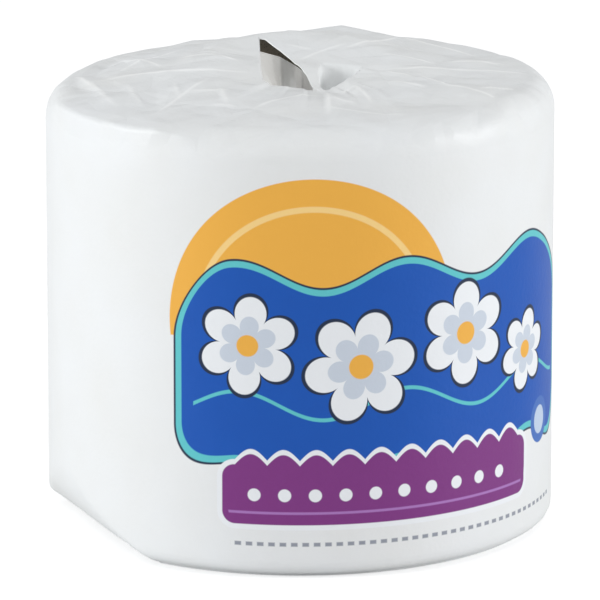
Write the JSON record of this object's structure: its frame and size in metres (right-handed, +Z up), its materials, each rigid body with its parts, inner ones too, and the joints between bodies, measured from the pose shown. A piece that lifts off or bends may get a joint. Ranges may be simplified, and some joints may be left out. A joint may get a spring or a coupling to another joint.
{
  "type": "toilet paper roll pack",
  "caption": "Single toilet roll in a printed paper wrapper, standing on end, its wrapper pleated over both ends and tucked into the cardboard core.",
  "frame": {"origin": "middle of the roll's footprint, on the plane that the wrapped roll stands on", "axes": "+Z up along the core's axis; the printed front of the wrapper faces -Y and its glued lap is at the back, +Y"},
  "size_m": [0.1193, 0.1194, 0.1125],
  "materials": {
    "wrapper_paper": "smooth printed wrapping paper",
    "tissue": "soft embossed tissue",
    "core_cardboard": "raw grey-brown board"
  },
  "bodies": {
    "root": {"wrapper": "wrapper_paper", "tissue_roll": "tissue", "core_tube": "core_cardboard"}
  },
  "joints": []
}
